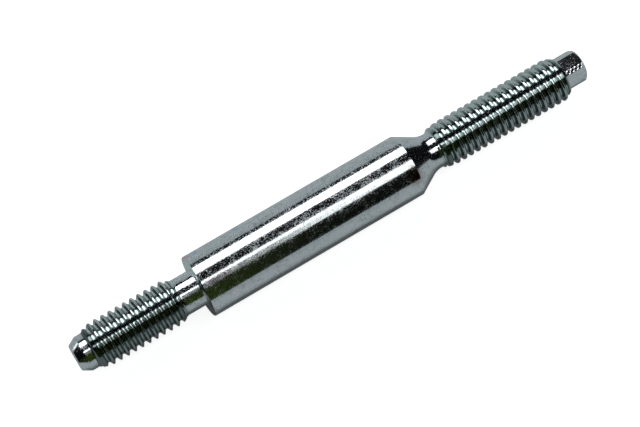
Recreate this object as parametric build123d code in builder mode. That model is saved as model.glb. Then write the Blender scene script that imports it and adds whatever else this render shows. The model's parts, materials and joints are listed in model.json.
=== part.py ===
from build123d import *
from math import cos, radians, sin, tan
import os

# Alternator stud: one turned steel bar, zinc plated all over.
# The axis lies along +X. The origin is the centre of the shoulder face, where the
# thick body seats. The short thread and its dog point run to -X; the body, the
# conical neck, the long thread and its hexagonal drive run to +X. +Z is up.
# Lengths are in millimetres.

# The two threads are the same coarse inch thread, 3/8-16 UNC, right hand.
# The solid carries each as a cylinder at its major diameter.
THREAD_DIA = 9.45
TURNED_ANGLE = 30  # the cone and every chamfer but the drive's, from the axis

# Short end: dog point, thread and plain shank, from the tip to the shoulder.
TIP_TO_SHOULDER = 27.2
DOG_DIA = 7.4
DOG_LENGTH = 3.3
DOG_CHAMFER = 1.75  # along the axis
SHANK_DIA = 7.6
SHANK_LENGTH = 4.3
SHANK_FILLET = 0.4

# Thick body between the shoulder and the cone.
BODY_DIA = 13.05
BODY_LENGTH = 47.6
SHOULDER_BREAK = 0.15  # broken edge round the shoulder face

# Neck: the cone runs into a concave arc, and that into a short cylinder.
NECK_DIA = 7.52
NECK_RADIUS = 4.65
NECK_LENGTH = 0.6

# Long end: thread and hexagonal drive.
RUN_OUT_DIA = 7.84  # the thread's chamfer where it reaches the drive
DRIVE_END = 88.6  # from the shoulder
DRIVE_LENGTH = 4.6
DRIVE_ACROSS_FLATS = 6.3
DRIVE_CORNER_DIA = 7.2  # the turned bar that the flats are milled on
DRIVE_CHAMFER = 0.7  # at 45 degrees
DRIVE_OFF_CENTRE = 0.25  # this drive stands off the thread's axis, towards +Y

slope = tan(radians(TURNED_ANGLE))
thread_r = THREAD_DIA / 2
dog_r = DOG_DIA / 2
shank_r = SHANK_DIA / 2
body_r = BODY_DIA / 2
neck_r = NECK_DIA / 2
run_out_r = RUN_OUT_DIA / 2
corner_r = DRIVE_CORNER_DIA / 2

# Stations along the axis, from the dog point's tip to the drive's end.
tip_x = -TIP_TO_SHOULDER
dog_end_x = tip_x + DOG_LENGTH
short_thread_x = dog_end_x + (thread_r - dog_r) / slope
short_thread_end_x = -SHANK_LENGTH - (thread_r - shank_r) / slope
arc_drop = NECK_RADIUS * (1 - cos(radians(TURNED_ANGLE)))
arc_x = BODY_LENGTH + (body_r - neck_r - arc_drop) / slope
neck_x = arc_x + NECK_RADIUS * sin(radians(TURNED_ANGLE))
neck_end_x = neck_x + NECK_LENGTH
long_thread_x = neck_end_x + (thread_r - neck_r) / slope
drive_x = DRIVE_END - DRIVE_LENGTH
long_thread_end_x = drive_x - (thread_r - run_out_r) / slope

with BuildPart() as stud:
    # The turned bar: half of its section, spun about the axis.
    with BuildSketch(Plane.XZ):
        with BuildLine():
            short_end = Polyline(
                (tip_x, 0),
                (tip_x, dog_r - DOG_CHAMFER * slope),
                (tip_x + DOG_CHAMFER, dog_r),
                (dog_end_x, dog_r),
                (short_thread_x, thread_r),
                (short_thread_end_x, thread_r),
                (-SHANK_LENGTH, shank_r),
                (-SHANK_FILLET, shank_r),
            )
            RadiusArc(short_end @ 1, (0, shank_r + SHANK_FILLET), -SHANK_FILLET)
            Polyline(
                (0, shank_r + SHANK_FILLET),
                (0, body_r - SHOULDER_BREAK),
                (SHOULDER_BREAK, body_r),
                (BODY_LENGTH, body_r),
                (arc_x, neck_r + arc_drop),
            )
            neck_arc = CenterArc(
                center=(neck_x, neck_r + NECK_RADIUS),
                radius=NECK_RADIUS,
                start_angle=270 - TURNED_ANGLE,
                arc_size=TURNED_ANGLE,
            )
            Polyline(
                neck_arc @ 1,
                (neck_end_x, neck_r),
                (long_thread_x, thread_r),
                (long_thread_end_x, thread_r),
                (drive_x, run_out_r),
                (drive_x, 0),
                (tip_x, 0),
            )
        make_face()
    revolve(axis=Axis.X)

    # The drive: a round end with six flats milled on it, one of them facing straight up.
    with BuildPart(mode=Mode.PRIVATE) as drive:
        with BuildSketch(Plane.YZ.offset(drive_x)):
            Circle(corner_r)
        extrude(amount=DRIVE_LENGTH)
        chamfer(drive.edges().sort_by(Axis.X)[-1], length=DRIVE_CHAMFER)
        with BuildSketch(Plane.YZ.offset(drive_x)):
            RegularPolygon(radius=DRIVE_ACROSS_FLATS / 2, side_count=6, major_radius=False)
        extrude(amount=DRIVE_LENGTH, mode=Mode.INTERSECT)
    with Locations((0, DRIVE_OFF_CENTRE, 0)):
        add(drive.part)

stud.part.label = "stud"

os.makedirs("parts", exist_ok=True)
export_step(stud.part, "parts/stud.step")
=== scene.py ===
import json
from math import ceil, cos, hypot, pi, radians, sin, tan

import bmesh
import bpy
from mathutils import Matrix, Vector


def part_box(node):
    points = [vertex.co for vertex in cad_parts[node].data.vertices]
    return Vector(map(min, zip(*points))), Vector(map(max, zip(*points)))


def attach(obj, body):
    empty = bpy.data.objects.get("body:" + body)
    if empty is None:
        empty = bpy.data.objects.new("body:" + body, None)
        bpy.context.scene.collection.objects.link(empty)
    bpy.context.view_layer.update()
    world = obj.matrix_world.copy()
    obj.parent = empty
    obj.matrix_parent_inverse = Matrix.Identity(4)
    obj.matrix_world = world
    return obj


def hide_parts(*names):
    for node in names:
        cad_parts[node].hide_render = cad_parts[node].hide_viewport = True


# Alternator stud: one turned steel bar, bright zinc plated, on a pale floor.
# The axis lies along +X from the dog point to the hexagonal drive, and the origin
# is the centre of the shoulder face. Lengths are in millimetres, and angles in degrees,
# unless a name or a note says otherwise. A mesh, a light or the camera takes metres.

MM = 0.001

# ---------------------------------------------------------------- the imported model

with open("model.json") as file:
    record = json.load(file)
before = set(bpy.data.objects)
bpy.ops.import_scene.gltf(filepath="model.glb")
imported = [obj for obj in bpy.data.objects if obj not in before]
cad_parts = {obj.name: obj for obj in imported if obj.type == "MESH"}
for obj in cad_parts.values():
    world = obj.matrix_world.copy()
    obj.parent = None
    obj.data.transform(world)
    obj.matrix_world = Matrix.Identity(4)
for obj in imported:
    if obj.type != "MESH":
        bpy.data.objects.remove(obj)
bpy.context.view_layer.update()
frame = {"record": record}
low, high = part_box("stud")
mounts = {mount["name"]: mount for mount in frame["record"]["mounts"]}


def mount_size(name, key):
    """A size of a mount, in millimetres."""
    return mounts[name]["dims"][key]


def mount_span(name):
    """Where a round mount starts and ends along the axis, in millimetres."""
    middle = mounts[name]["pos_m"][0] / MM
    half = mount_size(name, "length_mm") / 2
    return middle - half, middle + half


TIP = low[0] / MM
DRIVE_END = high[0] / MM
THREAD_RADIUS = mount_size("short_thread", "r_mm")
BODY_RADIUS = mount_size("body", "r_mm")
BODY_END = mount_span("body")[1]
DRIVE_APOTHEM = mount_size("drive_hexagon", "r_mm")
DRIVE_START = DRIVE_END - mount_size("drive_hexagon", "length_mm")
DRIVE_AXIS = Vector(mounts["drive_hexagon"]["pos_m"])  # parallel to the stud's, and just off it

# ---------------------------------------------------------------- sizes of the stud

INCH = 25.4
PITCH = INCH / 16  # sixteen threads to the inch
FLANK_ANGLE = 30  # half of the thread's form
ROOT_RADIUS = 3.92
SHORT_FLAT = 0.3  # width of the crests
LONG_FLAT = 0.42
THREAD_ROUND = 0.12
SHORT_CREST = -20.50  # a crest of the short thread on the +Y side
LONG_CREST = 68.90  # and one of the long thread
FLANK_CUTS = 4  # points along a flank, so that it can bend where the thread fades

TURNED_ANGLE = 30  # of every chamfer and of the cone, from the axis
TURNED_SLOPE = tan(radians(TURNED_ANGLE))
DOG_RADIUS = 3.7
DOG_LENGTH = 3.3
DOG_CHAMFER = 1.75
SHANK_RADIUS = 3.8
SHANK_LENGTH = 4.3
SHANK_FILLET = 0.4
SHOULDER_BREAK = 0.15
NECK_RADIUS = 3.76
NECK_CURVE = 4.65
NECK_LENGTH = 0.42
NECK_BLEND = 0.35
RUN_OUT_RADIUS = 3.82  # where the long thread's chamfer meets the drive
LEAD_SLOPE = 1.2  # rise along the axis of a thread's first step out of the plain bar
SHORT_LEAD = 4.02, 0.3  # radius over the short thread's first crest, and its taper
LONG_LEAD = 4.22, 0.18
DRIVE_CORNER_RADIUS = 3.6
DRIVE_CHAMFER = 0.7
DRIVE_SIDES = 6
EDGE_BREAK = 0.1

DOG_END = TIP + DOG_LENGTH
CURVE_DROP = NECK_CURVE * (1 - cos(radians(TURNED_ANGLE)))
CONE_END = BODY_END + (BODY_RADIUS - NECK_RADIUS - CURVE_DROP) / TURNED_SLOPE
NECK_START = CONE_END + NECK_CURVE * sin(radians(TURNED_ANGLE))
NECK_END = NECK_START + NECK_LENGTH

# Stations on plain stretches where the separately made surfaces meet.
SEAM_GAP = 0.12
DOG_SEAM = DOG_END - 0.6
SHANK_SEAM = -SHANK_LENGTH + 0.6
NECK_SEAM = NECK_START + 0.14
DRIVE_SEAM = DRIVE_START - 0.1

STEPS_ROUND = 96  # steps in one turn of the bar, and of the thread
CURVE_STEPS = 14  # steps along the neck's curve
FILLET_STEPS = 6
CORNER_STEPS = 3
MERGE = 0.002  # points nearer than this are one point
ON_PLANE = 0.0001  # how near a point is to a cutting plane to lie on it
TOUCHING = 0.01  # how near a face is to a plane to lie against it
SHARP_ANGLE = 24  # an edge that turns by more is shaded as an edge

# ---------------------------------------------------------------- colours of the plating

CLEAR = (0.78, 0.86, 0.88, 1)
CLOUDED = (0.83, 0.88, 0.92, 1)
IN_THREADS = (0.72, 0.83, 0.82, 1)
MOTTLED = (0.42, 0.46, 0.46, 1)
DULLED = (0.30, 0.22, 0.25, 1)
# Painted shade on the threads' flanks, in the dog's corner, on the threads' -Y side and low on
# that side; painted shade and a painted reflection of the lit floor on the seat.
FLANK_SHADE = (0.09, 0.13, 0.13, 1)
CORNER_SHADE = (0.06, 0.08, 0.08, 1)
THREAD_SIDE_SHADE = (0.20, 0.25, 0.24, 1)
LOW_SIDE_SHADE = (0.16, 0.18, 0.18, 1)
SEAT_SHADE = (0.06, 0.08, 0.07, 1)
SEAT_REFLECTION = (0.62, 0.88, 0.78, 1)
PINK = (0.70, 0.52, 0.55, 1)
BLUE = (0.55, 0.68, 0.85, 1)
BROWN = (0.50, 0.42, 0.36, 1)

# Stains: place along the axis, place across it, reach, colour.
STAINS = (
    (0.4, 5.6, 1.2, PINK),
    (2.3, 5.2, 1.0, BLUE),
    (11.5, 5.2, 1.0, BLUE),
    (46.6, -4.0, 2.2, BROWN),
)

MIRROR_ROUGHNESS = 0.08
CLOUD_ROUGHNESS = 0.05  # this and the next two are added to it
SPECK_ROUGHNESS = 0.20
SCUFF_ROUGHNESS = 0.18
SCUFF_TURN = 0.45  # of the noise behind them, in radians
GRAIN_HEIGHT = 0.004
CHATTER_HEIGHT = 0.033
CHATTER_ALONG = 6.83  # its phase, in radians a millimetre
CHATTER_ACROSS = -2.4

# ---------------------------------------------------------------- sizes of the studio

CENTRE = 28.564  # the point of the axis that the camera and the lamps are set out from

FLOOR_HALF_WIDTH = 1.6  # in metres
FLOOR_CENTRE = 0.03  # along the axis, in metres
FLOOR_COLOUR = (0.53, 0.57, 0.585, 1)
FLOOR_TO_CAMERA = 0.87  # its glow to the camera, on top of the light that falls on it
FLOOR_IN_METAL = 0.03  # its glow in the plating

WHITE = (1, 1, 1, 1)
WALL_COLOUR = (0.93, 1.0, 1.04, 1)
WALL_GLOW = 0.34
WALL_LOWEST = 0.12  # sine of the angle up to the wall's top, where it is lowest
WALL_RISE = 0.24  # and what the sine gains towards +Y
CARD_COLOUR = (0.62, 1.0, 0.1, 1)
CARD_GLOW = 0.028
DARK_GLOW = 0.003

PANEL_DISTANCE = 1.2  # of each lamp panel from the axis, in metres

# Lamp panels: name, start and end up from +Y, start and end of the lean to +X, strength.
SOFTBOXES = (
    ("far_softbox", 38.5, 65, -45, 38, 2.6),
    ("top_softbox", 97, 105.5, -40, 54, 2.2),
    ("near_softbox", 105.5, 121, 9.5, 50, 1.5),
    ("left_softbox", 105.5, 123, -12, 9.5, 0.15),
    ("end_softbox", 9, 24, -50, -36, 0.9),
)

CAMERA_AZIMUTH = -31.686
CAMERA_ELEVATION = 70.325
CAMERA_DISTANCE = 433.3
AIM_LEFT = 0.823  # how far left of the centre the camera aims, in its own view
AIM_UP = 0.025
CAMERA_LENS = 125.0
CAMERA_SENSOR = 36.0
CAMERA_NEAR_CLIP = 10

# ---------------------------------------------------------------- turning the bar

def line_to(bm, start, x, radius):
    """Carry the half section on in a straight line."""
    end = bm.verts.new((x * MM, radius * MM, 0))
    bm.edges.new((start, end))
    return end


def arc_to(bm, start, centre_x, centre_radius, degrees, steps):
    """Carry the half section on round an arc."""
    swung = bmesh.ops.spin(
        bm,
        geom=[start],
        cent=(centre_x * MM, centre_radius * MM, 0),
        axis=(0, 0, 1),
        angle=radians(degrees),
        steps=steps,
    )
    return next(end for end in swung["geom_last"] if isinstance(end, bmesh.types.BMVert))


def round_corners(bm, corners, size):
    """Break the corners of a half section."""
    bmesh.ops.bevel(
        bm,
        geom=corners,
        offset=size * MM,
        offset_type="OFFSET",
        affect="VERTICES",
        segments=CORNER_STEPS,
        profile=0.5,
        material=-1,
    )


def turn(bm):
    """Spin a finished half section into a bar, and close it at the axis."""
    bmesh.ops.spin(
        bm,
        geom=bm.verts[:] + bm.edges[:],
        cent=(0, 0, 0),
        axis=(1, 0, 0),
        angle=2 * pi,
        steps=STEPS_ROUND,
        use_merge=True,
    )
    bmesh.ops.remove_doubles(bm, verts=bm.verts[:], dist=MERGE * MM)


def dog_point():
    """The plain nose of the short thread, up to the seam."""
    bm = bmesh.new()
    centre = bm.verts.new((TIP * MM, 0, 0))
    rim = line_to(bm, centre, TIP, DOG_RADIUS - DOG_CHAMFER * TURNED_SLOPE)
    top = line_to(bm, rim, TIP + DOG_CHAMFER, DOG_RADIUS)
    line_to(bm, top, DOG_SEAM - SEAM_GAP, DOG_RADIUS)
    round_corners(bm, [rim, top], EDGE_BREAK)
    turn(bm)
    return bm


def body_and_neck():
    """The plain shank, the shoulder, the thick body, the cone and the neck."""
    bm = bmesh.new()
    start = bm.verts.new(((SHANK_SEAM + SEAM_GAP) * MM, SHANK_RADIUS * MM, 0))
    root = line_to(bm, start, -SHANK_FILLET, SHANK_RADIUS)
    seat = arc_to(bm, root, -SHANK_FILLET, SHANK_RADIUS + SHANK_FILLET, 90, FILLET_STEPS)
    lip = line_to(bm, seat, 0, BODY_RADIUS - SHOULDER_BREAK)
    rim = line_to(bm, lip, SHOULDER_BREAK, BODY_RADIUS)
    shoulder = line_to(bm, rim, BODY_END, BODY_RADIUS)
    foot = line_to(bm, shoulder, CONE_END, NECK_RADIUS + CURVE_DROP)
    curve_centre = NECK_RADIUS + NECK_CURVE
    waist = arc_to(bm, foot, NECK_START, curve_centre, TURNED_ANGLE, CURVE_STEPS)
    line_to(bm, waist, NECK_SEAM - SEAM_GAP, NECK_RADIUS)
    round_corners(bm, [lip, rim, shoulder], SHOULDER_BREAK / 3)
    turn(bm)
    return bm


# ---------------------------------------------------------------- cutting the threads

def least(a, b, blend):
    """The smaller of two sizes, rounded where they cross."""
    near = max(blend - abs(a - b), 0) / blend
    return min(a, b) - near * near * blend / 4


def most(a, b, blend):
    """The larger of two sizes, rounded where they cross."""
    return -least(-a, -b, blend)


def lead_in(x, start, bar_radius, lead, blend):
    """Radius where a thread begins: a step up from the plain bar, then a slow taper."""
    first_radius, taper = lead
    step = bar_radius + (x - start) * LEAD_SLOPE
    full = first_radius + (x - start) * taper
    return most(bar_radius, least(step, full, EDGE_BREAK), blend)


def short_thread_limit(x):
    """Radius of the bar under the short thread, from the dog to the shank."""
    start = lead_in(x, DOG_END, DOG_RADIUS, SHORT_LEAD, EDGE_BREAK)
    run_out = most(SHANK_RADIUS, SHANK_RADIUS - (x + SHANK_LENGTH) * TURNED_SLOPE, EDGE_BREAK)
    return least(start, run_out, EDGE_BREAK)


def long_thread_limit(x):
    """Radius of the bar under the long thread, from the neck to the drive."""
    start = lead_in(x, NECK_END, NECK_RADIUS, LONG_LEAD, NECK_BLEND)
    run_out = RUN_OUT_RADIUS + (DRIVE_START - x) * TURNED_SLOPE
    return least(start, run_out, EDGE_BREAK)


def thread(first, last, crest, crest_flat, limit):
    """A right-hand thread between two stations, held within the bar that it is cut in."""
    bm = bmesh.new()
    flank = (THREAD_RADIUS - ROOT_RADIUS) * tan(radians(FLANK_ANGLE))
    turns_before = ceil((crest - first) / PITCH) + 1
    centre = crest - turns_before * PITCH
    reach = crest_flat / 2
    start = bm.verts.new(((centre - PITCH / 2) * MM, ROOT_RADIUS * MM, 0))
    rise = line_to(bm, start, centre - reach - flank, ROOT_RADIUS)
    crest_start = line_to(bm, rise, centre - reach, THREAD_RADIUS)
    crest_end = line_to(bm, crest_start, centre + reach, THREAD_RADIUS)
    fall = line_to(bm, crest_end, centre + reach + flank, ROOT_RADIUS)
    line_to(bm, fall, centre + PITCH / 2, ROOT_RADIUS)
    round_corners(bm, [rise, crest_start, crest_end, fall], THREAD_ROUND)
    flanks = [edge for edge in bm.edges if edge.calc_length() > PITCH * MM / 5]
    bmesh.ops.subdivide_edges(bm, edges=flanks, cuts=FLANK_CUTS)
    bmesh.ops.spin(
        bm,
        geom=bm.verts[:] + bm.edges[:],
        cent=(0, 0, 0),
        axis=(1, 0, 0),
        dvec=(PITCH * MM / STEPS_ROUND, 0, 0),
        angle=2 * pi,
        steps=STEPS_ROUND,
    )
    one_turn = bm.verts[:] + bm.edges[:] + bm.faces[:]
    for number in range(1, ceil((last - first) / PITCH) + 3):
        copied = bmesh.ops.duplicate(bm, geom=one_turn)["geom"]
        points = [v for v in copied if isinstance(v, bmesh.types.BMVert)]
        bmesh.ops.translate(bm, verts=points, vec=(number * PITCH * MM, 0, 0))
    bmesh.ops.remove_doubles(bm, verts=bm.verts[:], dist=MERGE * MM)
    for vertex in bm.verts:
        radius = hypot(vertex.co.y, vertex.co.z) / MM
        held = least(radius, limit(vertex.co.x / MM), EDGE_BREAK) / radius
        vertex.co.y *= held
        vertex.co.z *= held
    for station, outwards in ((first, -1), (last, 1)):
        bmesh.ops.bisect_plane(
            bm,
            geom=bm.verts[:] + bm.edges[:] + bm.faces[:],
            dist=ON_PLANE * MM,
            plane_co=(station * MM, 0, 0),
            plane_no=(outwards, 0, 0),
            clear_outer=True,
        )
    return bm


# ---------------------------------------------------------------- the hexagonal drive

def drive():
    """The end of the bar with six flats milled on it, open where it meets the thread."""
    bm = bmesh.new()
    back = bm.verts.new((DRIVE_START * MM, 0, 0))
    heel = line_to(bm, back, DRIVE_START, DRIVE_CORNER_RADIUS)
    nose = line_to(bm, heel, DRIVE_END - DRIVE_CHAMFER, DRIVE_CORNER_RADIUS)
    rim = line_to(bm, nose, DRIVE_END, DRIVE_CORNER_RADIUS - DRIVE_CHAMFER)
    line_to(bm, rim, DRIVE_END, 0)
    round_corners(bm, [nose, rim], DRIVE_CHAMFER / 4)
    turn(bm)
    for side in range(DRIVE_SIDES):
        facing = radians(360 / DRIVE_SIDES * (side + 0.5))
        outwards = Vector((0, cos(facing), sin(facing)))
        cut = bmesh.ops.bisect_plane(
            bm,
            geom=bm.verts[:] + bm.edges[:] + bm.faces[:],
            dist=ON_PLANE * MM,
            plane_co=outwards * DRIVE_APOTHEM * MM,
            plane_no=outwards,
            clear_outer=True,
        )
        rim_edges = [part for part in cut["geom_cut"] if isinstance(part, bmesh.types.BMEdge)]
        bmesh.ops.holes_fill(bm, edges=rim_edges, sides=0)
    heel_plane = (DRIVE_START + TOUCHING) * MM
    backing = [face for face in bm.faces if all(v.co.x < heel_plane for v in face.verts)]
    bmesh.ops.delete(bm, geom=backing, context="FACES")
    bmesh.ops.translate(bm, verts=bm.verts[:], vec=(0, DRIVE_AXIS.y, DRIVE_AXIS.z))
    return bm


# ---------------------------------------------------------------- the whole stud

def add_part(whole, part):
    """Move one surface into the stud's mesh."""
    carried = bpy.data.meshes.new("carried")
    part.to_mesh(carried)
    whole.from_mesh(carried)
    part.free()
    bpy.data.meshes.remove(carried)


def join_rings(bm, start, end):
    """Close the gap between two open rings that lie between two stations."""
    rings = [
        edge
        for edge in bm.edges
        if edge.is_boundary and all(start * MM < v.co.x < end * MM for v in edge.verts)
    ]
    bmesh.ops.bridge_loops(bm, edges=rings)


def turned_stud():
    """Every surface in one closed mesh, ready for its material."""
    bm = bmesh.new()
    add_part(bm, dog_point())
    add_part(bm, thread(DOG_SEAM, SHANK_SEAM, SHORT_CREST, SHORT_FLAT, short_thread_limit))
    add_part(bm, body_and_neck())
    add_part(bm, thread(NECK_SEAM, DRIVE_SEAM, LONG_CREST, LONG_FLAT, long_thread_limit))
    add_part(bm, drive())
    for seam in (DOG_SEAM, SHANK_SEAM, NECK_SEAM):
        join_rings(bm, seam - 2 * SEAM_GAP, seam + 2 * SEAM_GAP)
    join_rings(bm, DRIVE_SEAM - SEAM_GAP, DRIVE_START + SEAM_GAP)
    bmesh.ops.recalc_face_normals(bm, faces=bm.faces[:])
    mesh = bpy.data.meshes.new("turned_stud")
    for face in bm.faces:
        face.smooth = True
    bm.to_mesh(mesh)
    bm.free()
    mesh.set_sharp_from_angle(angle=radians(SHARP_ANGLE))
    stud = bpy.data.objects.new("turned_stud", mesh)
    bpy.context.collection.objects.link(stud)
    weighted = stud.modifiers.new("even_shading", "WEIGHTED_NORMAL")
    weighted.mode = "FACE_AREA"
    weighted.keep_sharp = True
    return stud


# ---------------------------------------------------------------- shader arithmetic

class Value:
    """A socket in a node tree. Arithmetic on it adds Math nodes."""

    def __init__(self, shader, socket):
        self.shader = shader
        self.socket = socket

    def maths(self, operation, first, second):
        settings = {"operation": operation}
        return self.shader.node("ShaderNodeMath", settings, {0: first, 1: second})

    def __add__(self, other):
        return self.maths("ADD", self, other)

    def __sub__(self, other):
        return self.maths("SUBTRACT", self, other)

    def __mul__(self, other):
        return self.maths("MULTIPLY", self, other)

    def __rsub__(self, other):
        return self.maths("SUBTRACT", other, self)

    def __pow__(self, other):
        return self.maths("POWER", self, other)

    __radd__ = __add__
    __rmul__ = __mul__


class Shader:
    """A node tree, and the one way that this script adds nodes to it."""

    def __init__(self, tree):
        self.tree = tree
        tree.nodes.clear()

    def node(self, kind, settings, inputs, output=0):
        made = self.tree.nodes.new(kind)
        for name, value in settings.items():
            setattr(made, name, value)
        for key, value in inputs.items():
            if isinstance(value, Value):
                self.tree.links.new(value.socket, made.inputs[key])
            else:
                made.inputs[key].default_value = value
        return Value(self, made.outputs[output])

    def smooth(self, value, start, end):
        """0 at start, 1 at end, eased between them."""
        settings = {"interpolation_type": "SMOOTHSTEP"}
        return self.node("ShaderNodeMapRange", settings, {0: value, 1: start, 2: end})

    def tint(self, amount, under, over):
        """One colour over another."""
        settings = {"data_type": "RGBA"}
        return self.node("ShaderNodeMix", settings, {0: amount, 6: under, 7: over}, output=2)

    def noise(self, place, scale, detail=2.0, rough=0.5):
        """Cloudy noise around 0.5, finer with a larger scale."""
        inputs = {"Vector": place, "Scale": scale, "Detail": detail, "Roughness": rough}
        return self.node("ShaderNodeTexNoise", {}, inputs)

    def finish(self, kind, surface):
        """Send a surface to the tree's output."""
        output = self.tree.nodes.new(kind)
        self.tree.links.new(surface.socket, output.inputs["Surface"])


# ---------------------------------------------------------------- zinc plating

def between(shader, value, start, end, soft):
    """1 while a value lies between two others, eased to 0 beyond them."""
    return shader.smooth(value, start - soft, start + soft) * (
        1 - shader.smooth(value, end - soft, end + soft)
    )


class Places:
    """Where a point of the stud is, in millimetres, and the areas that it lies in."""

    def __init__(self, shader):
        place = shader.node("ShaderNodeTexCoord", {}, {}, output="Object")
        scaled = {0: place, "Scale": 1 / MM}
        self.in_mm = shader.node("ShaderNodeVectorMath", {"operation": "SCALE"}, scaled)
        self.along, self.across, self.up = (
            shader.node("ShaderNodeSeparateXYZ", {}, {0: self.in_mm}, output=axis)
            for axis in range(3)
        )
        self.off_axis = (self.across * self.across + self.up * self.up) ** 0.5
        within_crests = 1 - shader.smooth(self.off_axis, THREAD_RADIUS, THREAD_RADIUS + 0.2)
        self.threaded = within_crests * (
            between(shader, self.along, DOG_END, -SHANK_LENGTH, 0.3)
            + between(shader, self.along, NECK_END, DRIVE_START, 0.3)
        )
        self.long_end = shader.smooth(self.along, 0, BODY_END)


def plating_colour(shader, at, clouds):
    """Faintly blue and clouded, greener in the threads, mottled, with painted shade, a painted
    reflection on the seat, and stains.
    """
    plain = shader.tint(shader.smooth(clouds, 0.35, 0.7), CLEAR, CLOUDED)
    colour = shader.tint(at.threaded, plain, IN_THREADS)
    patches = 0.5 + shader.smooth(shader.noise(at.in_mm, scale=0.4), 0.35, 0.7)
    blotches = shader.noise(at.in_mm, scale=1.5, detail=3, rough=0.7)
    mottle = shader.smooth(blotches, 0.42, 0.66)
    colour = shader.tint(mottle * patches * 0.5, colour, MOTTLED)

    # Painted shade darkens the threads' flanks, less so on the middle and the +Y side of the long
    # one, and the corner between the dog and the short one.
    flanks = between(shader, at.off_axis, ROOT_RADIUS + 0.12, THREAD_RADIUS - 0.12, 0.06)
    middle = between(shader, at.across, -2.2, -0.6, 0.4)
    less_shade = shader.smooth(at.across, 1.5, 3) + 0.6 * middle
    flank_shade = at.threaded * flanks * (0.88 - 0.6 * at.long_end * less_shade)
    colour = shader.tint(flank_shade, colour, FLANK_SHADE)
    corner = between(shader, at.along, DOG_END - 0.2, DOG_END + 0.5, 0.05)
    colour = shader.tint(corner * 0.9, colour, CORNER_SHADE)

    # Painted shade covers the threads' -Y side, more of it on the short one, and lies low on that
    # side of the whole stud, darker towards the bottom.
    shaded_side = at.threaded * (1 - shader.smooth(at.across + at.long_end * 1.2, -3.0, 0.4))
    colour = shader.tint(shaded_side * (0.75 - 0.25 * at.long_end), colour, THREAD_SIDE_SHADE)
    low_side = (1 - shader.smooth(at.up, 0.2, 1.9)) * (1 - shader.smooth(at.across, -3.4, -2.9))
    colour = shader.tint(low_side * 0.7, colour, LOW_SIDE_SHADE)

    # A dulled strip along the start of the body. Then the seat and its rim carry painted shade on
    # the -Y side and a teal painted reflection of the lit floor towards +Y.
    strip = between(shader, at.along, 0.3, 6, 2.5) * between(shader, at.across, -3.2, -1.3, 0.4)
    dulled = strip * shader.smooth(shader.noise(at.in_mm, scale=3.5), 0.3, 0.6)
    colour = shader.tint(dulled * 0.8, colour, DULLED)
    on_seat = between(shader, at.along, -0.2, 0.12, 0.02) * shader.smooth(at.off_axis, 4.3, 4.6)
    # Painted shade on the seat's -Y side, and a painted reflection of the lit floor on its +Y
    # side.
    seat = shader.tint(shader.smooth(at.across, -2.0, 1.5), SEAT_SHADE, SEAT_REFLECTION)
    colour = shader.tint(on_seat, colour, seat)

    # Stains on the upper half: pink and blue near the shoulder, brown near the cone.
    for x, y, reach, stain in STAINS:
        ahead, aside = at.along - x, at.across - y
        apart = (ahead * ahead + aside * aside) ** 0.5
        near = (1 - shader.smooth(apart, reach * 0.3, reach)) * shader.smooth(at.up, 0, 1)
        colour = shader.tint(near, colour, stain)
    return colour


def plating_roughness(shader, at, clouds):
    """Mirror-like, with dull specks that gather in patches, and scuffs along the axis."""
    fine = shader.noise(at.in_mm, scale=4.4, detail=1)
    thick = 0.14 * shader.smooth(shader.noise(at.in_mm, scale=0.5), 0.35, 0.7)
    # Fewer specks on the cone and neck, the dog's chamfer, the drive, the threads and the
    # -Y side.
    sparse = (
        0.3 * between(shader, at.along, BODY_END, NECK_END, 0.1)
        + 0.12 * (1 - shader.smooth(at.along, DOG_END - 1.6, DOG_END - 1.3))
        + 0.14 * shader.smooth(at.along, DRIVE_START, DRIVE_START + 0.1)
        + 0.14 * at.threaded
        + 0.07 * (1 - shader.smooth(at.across, -4.0, -2.6))
    )
    specks = shader.smooth(fine + thick - sparse, 0.62, 0.67)
    drawn_out = {"Vector": at.in_mm, "Rotation": (0, 0, SCUFF_TURN), "Scale": (0.9, 7, 7)}
    streaks = shader.noise(shader.node("ShaderNodeMapping", {}, drawn_out), scale=1, detail=1)
    scuffs = shader.smooth(streaks, 0.66, 0.70)
    return (
        MIRROR_ROUGHNESS
        + CLOUD_ROUGHNESS * clouds
        + SPECK_ROUGHNESS * specks
        + SCUFF_ROUGHNESS * scuffs
    )


def plating_bump(shader, at):
    """A fine grain all over, and chatter marks along the drive's top flat."""
    grain = shader.noise(at.in_mm, scale=5, detail=1.5, rough=0.6)
    phase = at.along * CHATTER_ALONG + at.across * CHATTER_ACROSS
    wave = shader.node("ShaderNodeMath", {"operation": "SINE"}, {0: phase})
    on_drive = shader.smooth(at.along, DRIVE_START, DRIVE_START + 0.3)
    on_strip = between(shader, at.across, -1.45, -0.75, 0.12)
    height = grain * GRAIN_HEIGHT + wave * (on_strip * on_drive) * CHATTER_HEIGHT
    inputs = {"Strength": 1.0, "Distance": MM, "Height": height}
    return shader.node("ShaderNodeBump", {}, inputs)


def zinc_plating():
    material = bpy.data.materials.new("zinc_plating")
    material.use_nodes = True
    shader = Shader(material.node_tree)
    at = Places(shader)
    clouds = shader.noise(at.in_mm, scale=0.22)
    inputs = {
        "Base Color": plating_colour(shader, at, clouds),
        "Metallic": 1.0,
        "Roughness": plating_roughness(shader, at, clouds),
        "Normal": plating_bump(shader, at),
    }
    surface = shader.node("ShaderNodeBsdfPrincipled", {}, inputs)
    shader.finish("ShaderNodeOutputMaterial", surface)
    return material


# ---------------------------------------------------------------- floor, lights, camera

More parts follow.
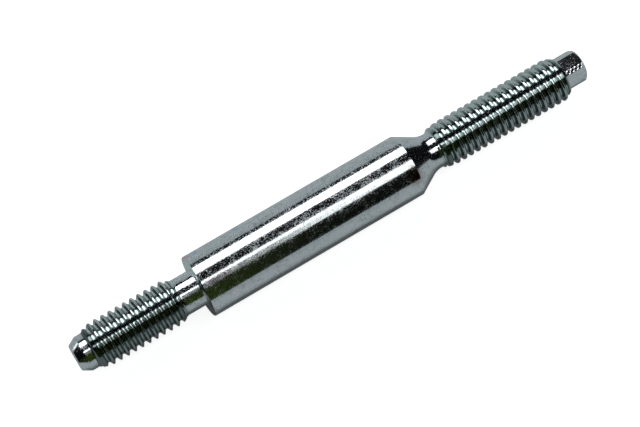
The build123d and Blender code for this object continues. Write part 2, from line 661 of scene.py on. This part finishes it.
def pale_floor():
    """A wide floor under the body, white to the camera and pale grey in the plating."""
    bm = bmesh.new()
    bmesh.ops.create_grid(bm, x_segments=1, y_segments=1, size=FLOOR_HALF_WIDTH)
    bmesh.ops.translate(bm, verts=bm.verts[:], vec=(FLOOR_CENTRE, 0, -BODY_RADIUS * MM))
    mesh = bpy.data.meshes.new("floor")
    bm.to_mesh(mesh)
    bm.free()
    floor_piece = bpy.data.objects.new("floor", mesh)
    bpy.context.collection.objects.link(floor_piece)
    material = bpy.data.materials.new("pale_floor")
    material.use_nodes = True
    shader = Shader(material.node_tree)
    from_camera = shader.node("ShaderNodeLightPath", {}, {}, output="Is Camera Ray")
    in_metal = shader.node("ShaderNodeLightPath", {}, {}, output="Is Glossy Ray")
    in_glass = shader.node("ShaderNodeLightPath", {}, {}, output="Is Transmission Ray")
    strength = from_camera * FLOOR_TO_CAMERA + (in_metal + in_glass) * FLOOR_IN_METAL
    glow = shader.node("ShaderNodeEmission", {}, {"Color": WHITE, "Strength": strength})
    matt = shader.node("ShaderNodeBsdfDiffuse", {}, {"Color": FLOOR_COLOUR})
    both = shader.node("ShaderNodeAddShader", {}, {0: glow, 1: matt})
    shader.finish("ShaderNodeOutputMaterial", both)
    mesh.materials.append(material)


def studio_surround():
    """White to the camera. The plating sees a pale wall low down, and dark above it."""
    world = bpy.data.worlds.new("studio")
    world.use_nodes = True
    bpy.context.scene.world = world
    shader = Shader(world.node_tree)
    direction = shader.node("ShaderNodeTexCoord", {}, {}, output="Generated")
    along, across, up = (
        shader.node("ShaderNodeSeparateXYZ", {}, {0: direction}, output=axis) for axis in range(3)
    )
    # along, across and up are the parts of a direction. The wall is higher on the +Y side
    # and lower beyond the drive. It is missing beyond the dog point, except towards +Y.
    rising = shader.node("ShaderNodeMapRange", {}, {0: across, 1: -0.3, 2: 0.93})
    beyond_drive = shader.smooth(along, 0.5, 0.62)
    side_top = WALL_LOWEST + WALL_RISE * rising
    drive_top = 0.11 + 0.05 * across
    wall_top = side_top * (1 - beyond_drive) + drive_top * beyond_drive
    above = shader.smooth(up - wall_top, -0.02, 0.02)
    beyond_dog = shader.smooth(-1 * along, 0.5, 0.65)
    missing = beyond_dog * (1 - shader.smooth(across - along, 0.9, 1.3))
    # A dim green card hangs over the -Y side, towards the dog point.
    card = above * (1 - shader.smooth(along, 0.12, 0.16)) * shader.smooth(-1 * across, 0.4, 0.55)
    wall = (1 - above) * (1 - missing)
    glow = DARK_GLOW + wall * WALL_GLOW + card * CARD_GLOW
    colour = shader.tint(card, WALL_COLOUR, CARD_COLOUR)
    from_camera = shader.node("ShaderNodeLightPath", {}, {}, output="Is Camera Ray")
    strength = glow * (1 - from_camera) + from_camera
    colour = shader.tint(from_camera, colour, WHITE)
    back = shader.node("ShaderNodeBackground", {}, {"Color": colour, "Strength": strength})
    shader.finish("ShaderNodeOutputWorld", back)


def softbox(name, start_angle, end_angle, start_lean, end_lean, strength):
    """A lamp panel with its long edges along the axis, seen from the stud between two
    angles up from +Y and two leans towards +X. The camera doesn't see it."""
    middle = radians((start_angle + end_angle) / 2)
    height = 2 * PANEL_DISTANCE * tan(radians(end_angle - start_angle) / 2)
    start, end = (PANEL_DISTANCE * tan(radians(lean)) for lean in (start_lean, end_lean))
    lamp = bpy.data.lights.new(name, "AREA")
    lamp.shape = "RECTANGLE"
    lamp.size = end - start
    lamp.size_y = height
    lamp.energy = strength * pi * lamp.size * lamp.size_y
    panel = bpy.data.objects.new(name, lamp)
    place = Matrix.Translation((CENTRE * MM + (start + end) / 2, 0, 0))
    facing = Matrix.Rotation(middle - pi / 2, 4, "X")
    panel.matrix_world = place @ facing @ Matrix.Translation((0, 0, PANEL_DISTANCE))
    panel.visible_camera = False
    bpy.context.collection.objects.link(panel)


def add_camera():
    """A long lens high over the -Y side, a little towards the dog point."""
    azimuth, elevation = radians(CAMERA_AZIMUTH), radians(CAMERA_ELEVATION)
    level = cos(elevation)
    back = Vector((sin(azimuth) * level, -cos(azimuth) * level, sin(elevation)))
    data = bpy.data.cameras.new("camera")
    camera = bpy.data.objects.new("camera", data)
    turned = back.to_track_quat("Z", "Y").to_matrix()
    aim = Vector((CENTRE, 0, 0)) - turned.col[0] * AIM_LEFT + turned.col[1] * AIM_UP
    place = (aim + back * CAMERA_DISTANCE) * MM
    camera.matrix_world = Matrix.Translation(place) @ turned.to_4x4()
    data.lens = CAMERA_LENS
    data.sensor_width = CAMERA_SENSOR
    data.clip_start = CAMERA_NEAR_CLIP * MM
    bpy.context.collection.objects.link(camera)
    bpy.context.scene.camera = camera


stud = turned_stud()
stud.data.materials.append(zinc_plating())
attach(stud, "root")
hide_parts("stud")
pale_floor()
studio_surround()
for panel in SOFTBOXES:
    softbox(*panel)
add_camera()
bpy.context.scene.view_settings.view_transform = "Standard"
